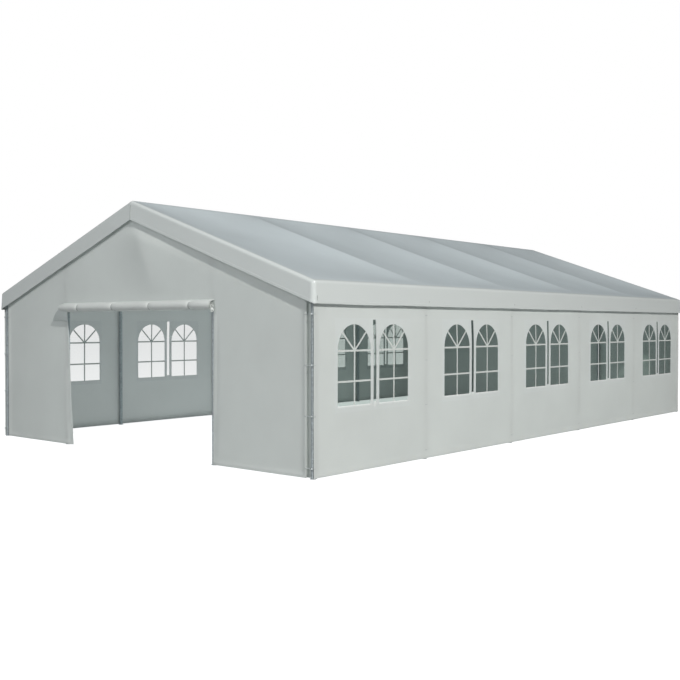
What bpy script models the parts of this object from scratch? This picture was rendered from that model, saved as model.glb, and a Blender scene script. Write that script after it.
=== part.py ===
"""Marquee tent, 6 m wide and 10 m long: a frame of round steel tubes with a fabric roof and fabric walls.

The front gable, with its doorway, faces -Y. The long walls face +X and -X. The ground is Z = 0 and the origin
is on it, under the middle of the tent. All lengths are in metres.
"""

import math

import bmesh
import bpy
from mathutils import Vector

# Gaps between touching pieces, and the number of sides of a round tube
GAP = 0.0003
TUBE_SIDES = 12

# Frame
POST_X = 2.97
END_FRAME_Y = 4.97
FRAME_Y = (-END_FRAME_Y, -3.0, -1.0, 1.0, 3.0, END_FRAME_Y)
TUBE_RADIUS = 0.025
SLEEVE_RADIUS = 0.029
SOCKET_LENGTH = 0.15
SOCKET_FLOOR = 0.035
SLEEVE_HALF_LENGTH = 0.08
FOOT_RADIUS = 0.0375
FOOT_THICKNESS = 0.005
GABLE_POST_X = 1.45
GABLE_RING_LENGTH = 0.10

# Fabric. The sheets are thicker than the real 0.5 mm so that they are sound solids
SHEET = 0.003
ROOF_HALF_WIDTH = 3.035
ROOF_HALF_LENGTH = 5.035
RIDGE_HEIGHT = 3.13
EAVE_HEIGHT = 2.055
VALANCE_DROP = 0.24
ROOF_SAG = 0.07
SAG_START_X = 0.10
SAG_END_X = 2.88

# Walls
WALL_BOTTOM = 0.008
SIDE_WALL_TOP = 2.045
SIDE_WALL_END_Y = 4.945
GABLE_WALL_HALF_WIDTH = 2.935
GABLE_TOP_BELOW_ROOF = 0.02

# Windows, two to a bay, with a narrow clear strip between them
BAY_CENTRES_Y = (-4.0, -2.0, 0.0, 2.0, 4.0)
WINDOW_OFFSET = 0.35
WINDOW_WIDTH = 0.55
WINDOW_SILL = 0.73
WINDOW_SPRING = 1.33
STRIP_WIDTH = 0.05
STRIP_BOTTOM = 0.745
STRIP_TOP = 1.655
ARCH_SEGMENTS = 10
FILM_THICKNESS = 0.002
FILM_HALF_LENGTH = 4.85
FILM_BOTTOM = 0.67
FILM_TOP = 1.70

# Doorway in the front gable. Its two edges lean in towards the ground, the left one further
DOOR_HEAD = 1.80
DOOR_LEFT_TOP = -1.44
DOOR_LEFT_FOOT = -1.30
DOOR_RIGHT_TOP = 1.485
DOOR_RIGHT_FOOT = 1.44
ROLL_RADIUS = 0.058
ROLL_WAIST_RADIUS = 0.050
ROLL_HEIGHT = 1.82
ROLL_LEFT = -1.47
ROLL_RIGHT = 1.50
TIE_X = (-1.13, -0.385, 0.36, 1.105)
ROLL_SIDES = 12
FLAP_DROP = 0.19
FLAP_REACH = 0.225
FLAP_INNER_X = -1.30
FLAP_THICKNESS = 0.012

# Sizes that follow from those above
SLOPE = (RIDGE_HEIGHT - EAVE_HEIGHT) / ROOF_HALF_WIDTH
SLOPE_ANGLE = math.atan(SLOPE)
TUBE_BELOW_ROOF = (SHEET + GAP + SLEEVE_RADIUS) / math.cos(SLOPE_ANGLE)
RIDGE_TUBE_Z = RIDGE_HEIGHT - TUBE_BELOW_ROOF
EAVE_TUBE_Z = RIDGE_TUBE_Z - SLOPE * POST_X
TUBE_RUN_END_Y = END_FRAME_Y + SLEEVE_RADIUS
WALL_INNER = SLEEVE_RADIUS + GAP
SIDE_WALL_X = POST_X + WALL_INNER
GABLE_WALL_Y = END_FRAME_Y + WALL_INNER

STEEL = ("galvanised_steel", (0.42, 0.45, 0.47), 0.38, 0.9)
ROOF_FABRIC = ("roof_fabric", (0.60, 0.64, 0.66), 0.45, 0.0)
WALL_FABRIC = ("wall_fabric", (0.66, 0.69, 0.67), 0.55, 0.0)
WINDOW_FILM = ("window_film", (0.55, 0.60, 0.60), 0.10, 0.0)


def clear_scene():
    for thing in list(bpy.data.objects):
        bpy.data.objects.remove(thing, do_unlink=True)


def material(kind):
    name, colour, roughness, metallic = kind
    found = bpy.data.materials.get(name)
    if found:
        return found
    made = bpy.data.materials.new(name)
    made.use_nodes = True
    shader = made.node_tree.nodes["Principled BSDF"]
    shader.inputs["Base Color"].default_value = (*colour, 1.0)
    shader.inputs["Roughness"].default_value = roughness
    shader.inputs["Metallic"].default_value = metallic
    made.diffuse_color = (*colour, 1.0)
    return made


def solid(name, shape, kind, smooth=False, place=None):
    """An object from a bmesh, in the scene or, for a helper, in the collection given as its place."""
    bmesh.ops.recalc_face_normals(shape, faces=shape.faces)
    mesh = bpy.data.meshes.new(name)
    shape.to_mesh(mesh)
    shape.free()
    if smooth:
        mesh.shade_smooth()
        mesh.set_sharp_from_angle(angle=math.radians(40))
    mesh.materials.append(material(kind))
    made = bpy.data.objects.new(name, mesh)
    (place or bpy.context.scene.collection).objects.link(made)
    if place:
        made.hide_render = True
        made.display_type = "WIRE"
    return made


def helpers(name):
    """A collection for the pieces that a Boolean joins to a node or cuts from it."""
    made = bpy.data.collections.new(name)
    bpy.context.scene.collection.children.link(made)
    return made


def boolean(target, operation, collection):
    step = target.modifiers.new(operation.lower(), "BOOLEAN")
    step.operation = operation
    step.solver = "EXACT"
    step.operand_type = "COLLECTION"
    step.collection = collection


def ring(shape, centre, across, upward, radius, sides=TUBE_SIDES):
    """A ring of points with a corner in each of the directions across and upward."""
    points = []
    for step in range(sides):
        angle = 2 * math.pi * step / sides
        points.append(shape.verts.new(centre + radius * (math.cos(angle) * across + math.sin(angle) * upward)))
    return points


def loft(shape, rings):
    """Joins rings of points one to the next, and closes both ends."""
    for first, second in zip(rings, rings[1:]):
        count = len(first)
        for step in range(count):
            after = (step + 1) % count
            shape.faces.new((first[step], first[after], second[after], second[step]))
    shape.faces.new(rings[0][::-1])
    shape.faces.new(rings[-1])


def tube(start, end, radius, sideways):
    """A solid round bar from start to end, whose cross-section has a corner in the direction sideways."""
    start, end = Vector(start), Vector(end)
    along = (end - start).normalized()
    across = Vector(sideways)
    upward = along.cross(across)
    shape = bmesh.new()
    loft(shape, [ring(shape, point, across, upward, radius) for point in (start, end)])
    return shape


def turned(profile, x, y):
    """A solid turned about an upright line at x, y from (radius, height) pairs."""
    shape = bmesh.new()
    across, upward = Vector((1, 0, 0)), Vector((0, 1, 0))
    loft(shape, [ring(shape, Vector((x, y, z)), across, upward, radius) for radius, z in profile])
    return shape


def prism(outline, offset):
    """A flat sheet: the outline's face pushed through by offset."""
    shape = bmesh.new()
    face = shape.faces.new([shape.verts.new(point) for point in outline])
    pushed = bmesh.ops.extrude_face_region(shape, geom=[face])
    moved = [item for item in pushed["geom"] if isinstance(item, bmesh.types.BMVert)]
    bmesh.ops.translate(shape, verts=moved, vec=offset)
    return shape


def box(low, high):
    low, high = Vector(low), Vector(high)
    outline = [(low.x, low.y, low.z), (high.x, low.y, low.z), (high.x, high.y, low.z), (low.x, high.y, low.z)]
    return prism(outline, (0, 0, high.z - low.z))


def roof_height(x):
    """Height of the roof's outer face over x, with no sag."""
    return RIDGE_HEIGHT - SLOPE * abs(x)


def eave_point(side, y):
    return Vector((side * POST_X, y, EAVE_TUBE_Z))


def ridge_point(y):
    return Vector((0, y, RIDGE_TUBE_Z))


def post_profile(top):
    """Foot disc and tube, as (radius, height) pairs."""
    return [(FOOT_RADIUS, 0), (FOOT_RADIUS, FOOT_THICKNESS), (TUBE_RADIUS, FOOT_THICKNESS), (TUBE_RADIUS, top)]


def build_posts():
    top = EAVE_TUBE_Z - SOCKET_FLOOR - GAP
    for side, word in ((-1, "left"), (1, "right")):
        for number, y in enumerate(FRAME_Y, start=1):
            solid(f"{word}_post_{number}", turned(post_profile(top), side * POST_X, y), STEEL, smooth=True)


def build_rafters():
    for side, word in ((-1, "left"), (1, "right")):
        for number, y in enumerate(FRAME_Y, start=1):
            low, high = eave_point(side, y), ridge_point(y)
            inset = (high - low).normalized() * (SOCKET_FLOOR + GAP)
            bar = tube(low + inset, high - inset, TUBE_RADIUS, (0, 1, 0))
            solid(f"{word}_rafter_{number}", bar, STEEL, smooth=True)


def tube_run(name, joint_at, arms_at):
    """A line of tubes along the tent, with the sleeves and sockets of its six connectors.

    joint_at gives a connector's centre for a frame's y, and arms_at the unit directions of its sockets there.
    """
    first, last = joint_at(-TUBE_RUN_END_Y), joint_at(TUBE_RUN_END_Y)
    run = solid(name, tube(first, last, TUBE_RADIUS, (1, 0, 0)), STEEL, smooth=True)
    joined, bored = helpers(name + "_joined"), helpers(name + "_bored")
    for number, y in enumerate(FRAME_Y, start=1):
        centre = joint_at(y)
        low = max(y - SLEEVE_HALF_LENGTH, -TUBE_RUN_END_Y)
        high = min(y + SLEEVE_HALF_LENGTH, TUBE_RUN_END_Y)
        sleeve = tube(joint_at(low), joint_at(high), SLEEVE_RADIUS, (1, 0, 0))
        solid(f"{name}_sleeve_{number}", sleeve, STEEL, place=joined)
        for arm_number, arm in enumerate(arms_at(y), start=1):
            socket = tube(centre, centre + arm * SOCKET_LENGTH, SLEEVE_RADIUS, (0, 1, 0))
            solid(f"{name}_socket_{number}_{arm_number}", socket, STEEL, place=joined)
            past_mouth = centre + arm * (SOCKET_LENGTH + SLEEVE_RADIUS)
            bore = tube(centre + arm * SOCKET_FLOOR, past_mouth, TUBE_RADIUS + GAP, (0, 1, 0))
            solid(f"{name}_bore_{number}_{arm_number}", bore, STEEL, place=bored)
    boolean(run, "UNION", joined)
    boolean(run, "DIFFERENCE", bored)


def build_tube_runs():
    downhill = {side: (eave_point(side, 0) - ridge_point(0)).normalized() for side in (-1, 1)}
    tube_run("ridge_tube", ridge_point, lambda y: (downhill[-1], downhill[1]))
    for side, word in ((-1, "left"), (1, "right")):
        arms = (-downhill[side], Vector((0, 0, -1)))
        tube_run(f"{word}_eave_tube", lambda y, side=side: eave_point(side, y), lambda y, arms=arms: arms)


def build_gable_posts():
    """Posts each side of a doorway, which end in a ring round the end rafter."""
    for end, end_word in ((-1, "front"), (1, "rear")):
        for side, word in ((-1, "left"), (1, "right")):
            name = f"{end_word}_{word}_gable_post"
            y = end * END_FRAME_Y
            downhill = (eave_point(side, y) - ridge_point(y)).normalized()
            meeting = Vector((side * GABLE_POST_X, y, RIDGE_TUBE_Z - SLOPE * GABLE_POST_X))
            post = solid(name, turned(post_profile(meeting.z), meeting.x, y), STEEL, smooth=True)
            joined, bored = helpers(name + "_joined"), helpers(name + "_bored")
            half = downhill * GABLE_RING_LENGTH / 2
            solid(name + "_ring", tube(meeting - half, meeting + half, SLEEVE_RADIUS, (0, 1, 0)), STEEL, place=joined)
            bore = tube(meeting - 2 * half, meeting + 2 * half, TUBE_RADIUS + GAP, (0, 1, 0))
            solid(name + "_bore", bore, STEEL, place=bored)
            boolean(post, "UNION", joined)
            boolean(post, "DIFFERENCE", bored)


def sag_at(x, y):
    """How far the roof hangs below the straight slope: nothing on the tubes, most in the middle of a bay."""
    uphill = (abs(x) - SAG_START_X) / (SAG_END_X - SAG_START_X)
    if not 0 < uphill < 1:
        return 0.0
    for low, high in zip(FRAME_Y, FRAME_Y[1:]):
        if low < y < high:
            share = (y - low) / (high - low)
            return ROOF_SAG * math.sin(math.pi * uphill) ** 0.8 * 4 * share * (1 - share)
    return 0.0


def roof_slope(side):
    """One slope of the roof sheet, from the ridge to the eave, as a grid of points with a thickness.

    Its two faces have the same triangles, so that the sheet is as thick everywhere.
    """
    steps_down = (GAP / 2, SAG_START_X, 0.35, 0.8, 1.5, 2.2, 2.65, SAG_END_X, ROOF_HALF_WIDTH - SHEET - GAP)
    edge_y = ROOF_HALF_LENGTH - SHEET - GAP
    steps_along = [-edge_y]
    for low, high in zip(FRAME_Y, FRAME_Y[1:]):
        steps_along += [low + (high - low) * quarter / 4 for quarter in range(4)]
    steps_along += [FRAME_Y[-1], edge_y]
    shape = bmesh.new()
    sheet_drop = SHEET / math.cos(SLOPE_ANGLE)
    upper, lower = {}, {}
    for row, x in enumerate(steps_down):
        for column, y in enumerate(steps_along):
            z = roof_height(x) - sag_at(x, y)
            upper[row, column] = shape.verts.new((side * x, y, z))
            lower[row, column] = shape.verts.new((side * x, y, z - sheet_drop))
    last_row, last_column = len(steps_down) - 1, len(steps_along) - 1
    for row in range(last_row):
        for column in range(last_column):
            first, second = (row, column), (row + 1, column)
            third, fourth = (row + 1, column + 1), (row, column + 1)
            for triangle in ((first, second, third), (first, third, fourth)):
                shape.faces.new([upper[corner] for corner in triangle])
                shape.faces.new([lower[corner] for corner in reversed(triangle)])
    edge = [(row, 0) for row in range(last_row)]
    edge += [(last_row, column) for column in range(last_column)]
    edge += [(row, last_column) for row in range(last_row, 0, -1)]
    edge += [(0, column) for column in range(last_column, 0, -1)]
    for here, after in zip(edge, edge[1:] + edge[:1]):
        shape.faces.new((upper[here], upper[after], lower[after], lower[here]))
    return shape


def build_roof():
    for side, word in ((-1, "left"), (1, "right")):
        solid(f"roof_{word}_slope", roof_slope(side), ROOF_FABRIC, smooth=True)
        end_y = ROOF_HALF_LENGTH - SHEET - GAP
        low = (side * (ROOF_HALF_WIDTH - SHEET), -end_y, EAVE_HEIGHT - VALANCE_DROP)
        high = (side * ROOF_HALF_WIDTH, end_y, EAVE_HEIGHT)
        solid(f"{word}_valance", box(low, high), ROOF_FABRIC)
    for end, word in ((-1, "front"), (1, "rear")):
        y = end * ROOF_HALF_LENGTH
        top = [(-ROOF_HALF_WIDTH, y, EAVE_HEIGHT), (0, y, RIDGE_HEIGHT), (ROOF_HALF_WIDTH, y, EAVE_HEIGHT)]
        bottom = [(x, y, z - VALANCE_DROP) for x, y, z in reversed(top)]
        solid(f"{word}_fascia", prism(top + bottom, (0, -end * SHEET, 0)), ROOF_FABRIC)


def arch_outline(x, centre_y):
    """The outline of an arched window in the plane of a long wall."""
    radius = WINDOW_WIDTH / 2
    points = [(x, centre_y + radius, WINDOW_SILL), (x, centre_y - radius, WINDOW_SILL)]
    for step in range(ARCH_SEGMENTS + 1):
        angle = math.pi * (1 - step / ARCH_SEGMENTS)
        points.append((x, centre_y + radius * math.cos(angle), WINDOW_SPRING + radius * math.sin(angle)))
    return points


def build_side_walls():
    for side, word in ((-1, "left"), (1, "right")):
        name = f"{word}_wall"
        inner, outer = side * SIDE_WALL_X, side * (SIDE_WALL_X + SHEET)
        wall = solid(name, box((inner, -SIDE_WALL_END_Y, WALL_BOTTOM), (outer, SIDE_WALL_END_Y, SIDE_WALL_TOP)),
                     WALL_FABRIC)
        cut = helpers(name + "_openings")
        start, through = inner - side * SHEET, 3 * side * SHEET
        for bay, centre in enumerate(BAY_CENTRES_Y, start=1):
            for place, offset in (("first", -WINDOW_OFFSET), ("second", WINDOW_OFFSET)):
                arch = prism(arch_outline(start, centre + offset), (through, 0, 0))
                solid(f"{name}_{place}_window_{bay}", arch, WALL_FABRIC, place=cut)
            low = (start, centre - STRIP_WIDTH / 2, STRIP_BOTTOM)
            high = (start + through, centre + STRIP_WIDTH / 2, STRIP_TOP)
            solid(f"{name}_strip_{bay}", box(low, high), WALL_FABRIC, place=cut)
        boolean(wall, "DIFFERENCE", cut)
        film = inner - side * GAP
        low = (film - side * FILM_THICKNESS, -FILM_HALF_LENGTH, FILM_BOTTOM)
        solid(f"{word}_window_film", box(low, (film, FILM_HALF_LENGTH, FILM_TOP)), WINDOW_FILM)


def gable_sheet(name, corners, end):
    """A flat piece of a gable wall from its (x, z) corners; end is -1 at the front and 1 at the rear."""
    outline = [(x, end * GABLE_WALL_Y, z) for x, z in corners]
    solid(name, prism(outline, (0, end * SHEET, 0)), WALL_FABRIC)


def build_gable_walls():
    """The front gable wall in three pieces round its doorway, and the closed rear one."""
    side = GABLE_WALL_HALF_WIDTH
    edge_top = roof_height(side) - GABLE_TOP_BELOW_ROOF
    slopes = [(side, edge_top), (0, RIDGE_HEIGHT - GABLE_TOP_BELOW_ROOF), (-side, edge_top)]
    gable_sheet("front_wall_left", [(-side, WALL_BOTTOM), (DOOR_LEFT_FOOT, WALL_BOTTOM),
                                    (DOOR_LEFT_TOP, DOOR_HEAD), (-side, DOOR_HEAD)], -1)
    gable_sheet("front_wall_right", [(DOOR_RIGHT_FOOT, WALL_BOTTOM), (side, WALL_BOTTOM),
                                     (side, DOOR_HEAD), (DOOR_RIGHT_TOP, DOOR_HEAD)], -1)
    base = DOOR_HEAD + GAP
    gable_sheet("front_gable_panel", [(-side, base), (side, base)] + slopes, -1)
    gable_sheet("rear_gable_wall", [(-side, WALL_BOTTOM), (side, WALL_BOTTOM)] + slopes, 1)


def build_door_roll():
    """The front door panel, rolled up over the doorway and drawn in at each tie, with one corner hanging out."""
    centre_y = -(GABLE_WALL_Y + SHEET + GAP + ROLL_RADIUS)
    stations = [(ROLL_LEFT, ROLL_WAIST_RADIUS)]
    edges = [ROLL_LEFT, *TIE_X, ROLL_RIGHT]
    for start, end in zip(edges, edges[1:]):
        stations.append(((start + end) / 2, ROLL_RADIUS))
        stations.append((end, ROLL_WAIST_RADIUS))
    shape = bmesh.new()
    across, upward = Vector((0, 1, 0)), Vector((0, 0, 1))
    rings = [ring(shape, Vector((x, centre_y, ROLL_HEIGHT)), across, upward, radius, ROLL_SIDES)
             for x, radius in stations]
    loft(shape, rings)
    roll = solid("front_door_roll", shape, WALL_FABRIC, smooth=True)
    joined = helpers("front_door_roll_joined")
    foot = ROLL_HEIGHT - FLAP_DROP
    flap = [(FLAP_INNER_X, ROLL_HEIGHT), (ROLL_LEFT + 0.02, ROLL_HEIGHT + 0.02),
            (ROLL_LEFT - FLAP_REACH, foot), (DOOR_LEFT_TOP, foot)]
    flap_y = centre_y - FLAP_THICKNESS / 2
    hanging = prism([(x, flap_y, z) for x, z in flap], (0, FLAP_THICKNESS, 0))
    solid("front_door_flap", hanging, WALL_FABRIC, place=joined)
    boolean(roll, "UNION", joined)


clear_scene()
build_posts()
build_rafters()
build_tube_runs()
build_gable_posts()
build_roof()
build_side_walls()
build_gable_walls()
build_door_roll()
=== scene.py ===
"""Looks of a marquee tent, 6 m wide and 10 m long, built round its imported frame.

The doorway gable faces -Y and the ground is Z = 0. All lengths are in metres.
"""

import math
import random
from functools import partial
from itertools import product

import bpy
import numpy as np
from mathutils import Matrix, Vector
from mathutils.geometry import delaunay_2d_cdt
from mathutils.kdtree import KDTree


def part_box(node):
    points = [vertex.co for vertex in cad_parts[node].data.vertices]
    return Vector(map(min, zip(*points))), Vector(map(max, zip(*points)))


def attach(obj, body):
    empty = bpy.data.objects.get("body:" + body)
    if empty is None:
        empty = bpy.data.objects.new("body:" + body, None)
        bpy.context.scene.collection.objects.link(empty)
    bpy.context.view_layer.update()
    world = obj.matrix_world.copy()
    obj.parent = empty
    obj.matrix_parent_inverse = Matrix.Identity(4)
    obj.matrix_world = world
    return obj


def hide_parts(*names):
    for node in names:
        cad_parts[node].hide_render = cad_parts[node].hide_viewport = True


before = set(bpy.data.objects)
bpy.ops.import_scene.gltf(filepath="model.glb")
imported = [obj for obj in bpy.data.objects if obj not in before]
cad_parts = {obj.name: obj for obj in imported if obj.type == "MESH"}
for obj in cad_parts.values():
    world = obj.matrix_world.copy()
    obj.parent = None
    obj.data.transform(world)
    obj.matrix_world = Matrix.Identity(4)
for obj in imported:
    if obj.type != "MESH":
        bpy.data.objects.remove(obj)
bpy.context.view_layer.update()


def middle_and_half(node, axis):
    """The middle of a node's box along an axis, and half its size along it."""
    low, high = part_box(node)
    return (low[axis] + high[axis]) / 2, (high[axis] - low[axis]) / 2


SIDES = ((-1, "left"), (1, "right"))
UP = (0, 0, 1)

# Places that the frame gives
VALANCE_LOW, VALANCE_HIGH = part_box("right_valance")
HALF_WIDTH = VALANCE_HIGH.x
EAVE_Z = VALANCE_HIGH.z
DROP = EAVE_Z - VALANCE_LOW.z
HALF_LENGTH, RIDGE_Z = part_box("rear_fascia")[1].yz
SLOPE = (RIDGE_Z - EAVE_Z) / HALF_WIDTH
SLOPE_ANGLE = math.atan(SLOPE)
SLOPE_X, SLOPE_Z = math.cos(SLOPE_ANGLE), math.sin(SLOPE_ANGLE)
RIGHT_POSTS = sorted(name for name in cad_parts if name.startswith("right_post_"))
FRAME_Y = [middle_and_half(post, 1)[0] for post in RIGHT_POSTS]
POST_X, FOOT_RADIUS = middle_and_half(RIGHT_POSTS[0], 0)
POST_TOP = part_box(RIGHT_POSTS[0])[1].z
TUBE_RADIUS = middle_and_half("right_rafter_2", 1)[1]
SLEEVE_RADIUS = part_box("right_eave_tube")[1].x - POST_X
CONNECTOR_RISE = 0.0353
EAVE_TUBE_Z = POST_TOP + CONNECTOR_RISE
RIDGE_TUBE_Z = EAVE_TUBE_Z + SLOPE * POST_X
GABLE_POST_X, GABLE_POST_Y = (middle_and_half("rear_right_gable_post", axis)[0] for axis in (0, 1))
WALL_LOW, WALL_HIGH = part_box("right_wall")
GABLE_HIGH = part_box("rear_gable_wall")[1]
CLOTH_INSET = 0.0008
SIDE_WALL_X = WALL_HIGH.x - CLOTH_INSET
SIDE_WALL_TOP = WALL_HIGH.z
WALL_BOTTOM = WALL_LOW.z
GABLE_WALL_Y = GABLE_HIGH.y - CLOTH_INSET
GABLE_TOP = GABLE_HIGH.z
DOOR_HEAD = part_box("front_gable_panel")[0].z

# Fabric
THICKNESS = 0.0012
GRID = 0.05
HEM = 0.03
HEM_RISE = 0.0009
HEM_INSETS = (HEM - 0.003, HEM, HEM + 0.002)
EDGE_RADIUS = 0.04
FLARE = 0.010
SAG = 0.15
BAY_SAGS = (1, 0.94, 1.06, 0.97, 1.03)
CREST = 0.012
BAY_BULGES = (0.011, 0.013, 0.010, 0.012, 0.010)
WALL_HELD_Z = 1.86

# Ends of the walls at the corner posts, with the gable walls' ends tucked in
SIDE_END = GABLE_WALL_Y - 0.002
GABLE_EDGE = GABLE_HIGH.x - 0.03
TUCK_DEPTH = 0.038
TUCK_BACK = TUCK_DEPTH * math.sqrt(2)
TUCK_LENGTH = TUCK_BACK + POST_X - TUBE_RADIUS - 0.002 - GABLE_EDGE + TUCK_DEPTH
TUCK_TOP = 1.86
TUCK_SHOULDER = TUCK_TOP + 0.02

# Doorway edges at the head and at the foot, and the door's roll
DOOR_LEFT_HEAD, DOOR_LEFT_FOOT = -1.415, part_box("front_wall_left")[1].x
DOOR_RIGHT_HEAD, DOOR_RIGHT_FOOT = 1.485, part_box("front_wall_right")[0].x
ROLL_Z = 1.82
ROLL_RADIUS = 0.057
ROLL_Y = -(GABLE_WALL_Y + 0.0045 + ROLL_RADIUS)
ROLL_WAIST = 0.040
ROLL_CORE = 0.008
ROLL_START = 1.889
ROLL_FIRST_ANGLE = math.radians(102)
ROLL_TURNS = 9
ROLL_SIDES = 22
ROLL_LEFT, ROLL_RIGHT = -1.47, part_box("front_door_roll")[1].x
TIE_X = (-1.06, -0.315, 0.42, 1.15)
TIE_HALF_WIDTH, TIE_THICKNESS, TIE_SIDES = 0.004, 0.0015, 28
FLAP_OUTLINE = [(-1.285, 1.775), (-1.43, 1.83), (-1.745, 1.659), (-1.385, 1.647)]
FLAP_TOP, FLAP_HEIGHT = 1.86, 0.224
TIE_HEIGHTS = (0.11, 0.65, 1.18, 1.71)

# Windows, two to a bay, with a narrow clear strip between them
BAY_CENTRES = (-4.0, -2.0, 0.0, 2.0, 4.0)
WINDOW_OFFSET = 0.35
WINDOW_RADIUS = 0.275
SILL = 0.73
SPRING = 1.33
STRIP_WIDTH = 0.05
STRIP_BOTTOM, STRIP_TOP = 0.745, 1.655
ARCH_STEPS = 24
PATCH_HALF_WIDTH = 0.67
PATCH_BOTTOM, PATCH_TOP = 0.66, 1.67
BAR_WIDTH = 0.021
BAR_HEIGHTS = (0.99, 1.32)

# The camera of the photograph
CAMERA_PLACE = (9.472, -12.166, 1.596)
CAMERA_YAW = 40.468
CAMERA_PITCH = -0.913
CAMERA_LENS = 49.69


# Materials

def add_node(tree, kind, inputs=None, out=0, **settings):
    """Adds a shader node and gives one of its outputs. An input given as another node's output is linked."""
    made = tree.nodes.new(f"ShaderNode{kind}")
    for name, value in settings.items():
        setattr(made, name, value)
    for name, value in (inputs or {}).items():
        if isinstance(value, bpy.types.NodeSocket):
            tree.links.new(value, made.inputs[name])
        else:
            made.inputs[name].default_value = value
    return made.outputs[out] if len(made.outputs) else None


def blank_material(name):
    """An empty material and the function that adds nodes to it."""
    made = bpy.data.materials.new(name)
    made.use_nodes = True
    made.node_tree.nodes.clear()
    return made, partial(add_node, made.node_tree)


def clouds(add, scale, detail, **more):
    """Soft noise that is fixed to the piece."""
    place = add("TexCoord", out="Object")
    return add("TexNoise", {"Vector": place, "Scale": scale, "Detail": detail, **more}, "Fac")


def tint(add, share, colour, dark, light=1.0):
    """The colour times dark where the share is 0, and times light where it is 1."""
    ends = [(*(min(1.0, factor * part) for part in colour), 1.0) for factor in (dark, light)]
    return add("Mix", {0: share, 6: ends[0], 7: ends[1]}, 2, data_type="RGBA")


def bump(add, height, strength, distance, **more):
    return add("Bump", {"Height": height, "Strength": strength, "Distance": distance, **more}, "Normal")


def fabric_material(name, colour, through, roughness, gloss=0.35, painted_edge_colour=None):
    """Coated woven sheet: faint mottling, a fine weave, and some light coming through."""
    made, add = blank_material(name)
    shade = tint(add, clouds(add, 1.3, 4.0, Roughness=0.55), colour, 0.93, 1.05)
    # Painted light: where a sheet is marked, it takes a second colour of the same fabric, set to how the
    # light falls there.
    if painted_edge_colour:
        painted_edge_mark = add("Attribute", out="Fac", attribute_name="edge")
        shade = add("Mix", {0: painted_edge_mark, 6: shade, 7: (*painted_edge_colour, 1.0)}, 2, data_type="RGBA")
    flat = add("UVMap", out="UV", uv_map="cut")
    threads = {"Vector": flat, "Scale": 160.0}
    warp, weft = (add("TexWave", threads, "Fac", bands_direction=axis) for axis in "XY")
    weave = add("Math", {0: warp, 1: weft}, operation="MULTIPLY")
    crumpled = bump(add, clouds(add, 9.0, 3.0), 0.10, 0.01)
    normal = bump(add, weave, 0.25, 0.0004, Normal=crumpled)
    body = add("BsdfPrincipled", {
        "Base Color": shade, "Roughness": roughness, "Specular IOR Level": gloss, "Normal": normal})
    glow = add("BsdfTranslucent", {"Color": shade, "Normal": normal})
    add("OutputMaterial", {"Surface": add("MixShader", {0: through, 1: body, 2: glow})})
    return made


def steel_material(name, colour, roughness):
    """Zinc-coated steel: crystal patches of slightly different greys and gloss, faintly uneven."""
    made, add = blank_material(name)
    patches = add("TexVoronoi", {"Vector": add("TexCoord", out="Object"), "Scale": 55.0}, "Color")
    uneven = clouds(add, 6.0, 5.0)
    both = add("Math", {0: add("SeparateColor", {0: patches}), 1: uneven}, operation="MULTIPLY")
    rough = add("MapRange", {"Value": both, "To Min": roughness - 0.08, "To Max": roughness + 0.14})
    body = add("BsdfPrincipled", {"Base Color": tint(add, both, colour, 0.72, 1.35), "Metallic": 0.45,
        "Roughness": rough, "Normal": bump(add, uneven, 0.15, 0.001)})
    add("OutputMaterial", {"Surface": body})
    return made


def plastic_material(name, colour, roughness):
    made, add = blank_material(name)
    uneven = clouds(add, 30.0, 3.0)
    body = add("BsdfPrincipled", {"Base Color": tint(add, uneven, colour, 0.92), "Roughness": roughness,
        "Normal": bump(add, uneven, 0.1, 0.0005)})
    add("OutputMaterial", {"Surface": body})
    return made


def film_material(name, colour):
    """Clear soft film, slightly tinted, with a rippled gloss where the light enters it."""
    made, add = blank_material(name)
    rippled = bump(add, clouds(add, 3.5, 2.0), 0.2, 0.01)
    clear = add("BsdfTransparent", {"Color": (*colour, 1.0)})
    gloss = add("BsdfGlossy", {"Color": (0.9, 0.9, 0.9, 1.0), "Roughness": 0.1, "Normal": rippled})
    entering = add("Math", {0: 1.0, 1: add("NewGeometry", out="Backfacing")}, operation="SUBTRACT")
    share = add("Math", {0: add("Fresnel", {"IOR": 1.33}), 1: entering}, operation="MULTIPLY")
    add("OutputMaterial", {"Surface": add("MixShader", {0: share, 1: clear, 2: gloss})})
    return made


# Painted light: the roof's top is bluer than its hems and rounded edges, standing for the bluish light from
# above on the slopes.
ROOF = fabric_material("roof_fabric", (0.724, 0.789, 0.813), through=0.20, roughness=0.24, gloss=0.9,
                       painted_edge_colour=(0.709, 0.744, 0.734))
WALL = fabric_material("wall_fabric", (0.775, 0.80, 0.785), through=0.40, roughness=0.55)
PATCH = fabric_material("wall_fabric_over_film", (0.785, 0.812, 0.802), through=0.385, roughness=0.45)
# Painted light: the door roll's fabric is the walls' fabric made slightly lighter, standing for the brighter
# light on the roll.
DOOR_PAINTED_LIGHTER = fabric_material("door_fabric", (0.795, 0.82, 0.805), through=0.33, roughness=0.5)
DOOR_BACK = fabric_material("door_fabric_back", (0.80, 0.84, 0.83), through=0.33, roughness=0.3)
STEEL = steel_material("galvanised_steel", (0.41, 0.455, 0.475), roughness=0.5)
BOLT = steel_material("zinc_bolts", (0.55, 0.56, 0.56), roughness=0.3)
WHITE = plastic_material("white_plastic", (0.80, 0.82, 0.81), roughness=0.45)
BAR = plastic_material("white_bars", (0.58, 0.61, 0.59), roughness=0.45)
KNOB = plastic_material("clear_knobs", (0.52, 0.56, 0.57), roughness=0.4)
# Painted shade: dark grey for the crease shade where the ties pinch the roll, and for the shade along the
# fascia seams.
SHADE_GREY = plastic_material("painted_shade_grey", (0.33, 0.36, 0.35), roughness=0.6)
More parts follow.
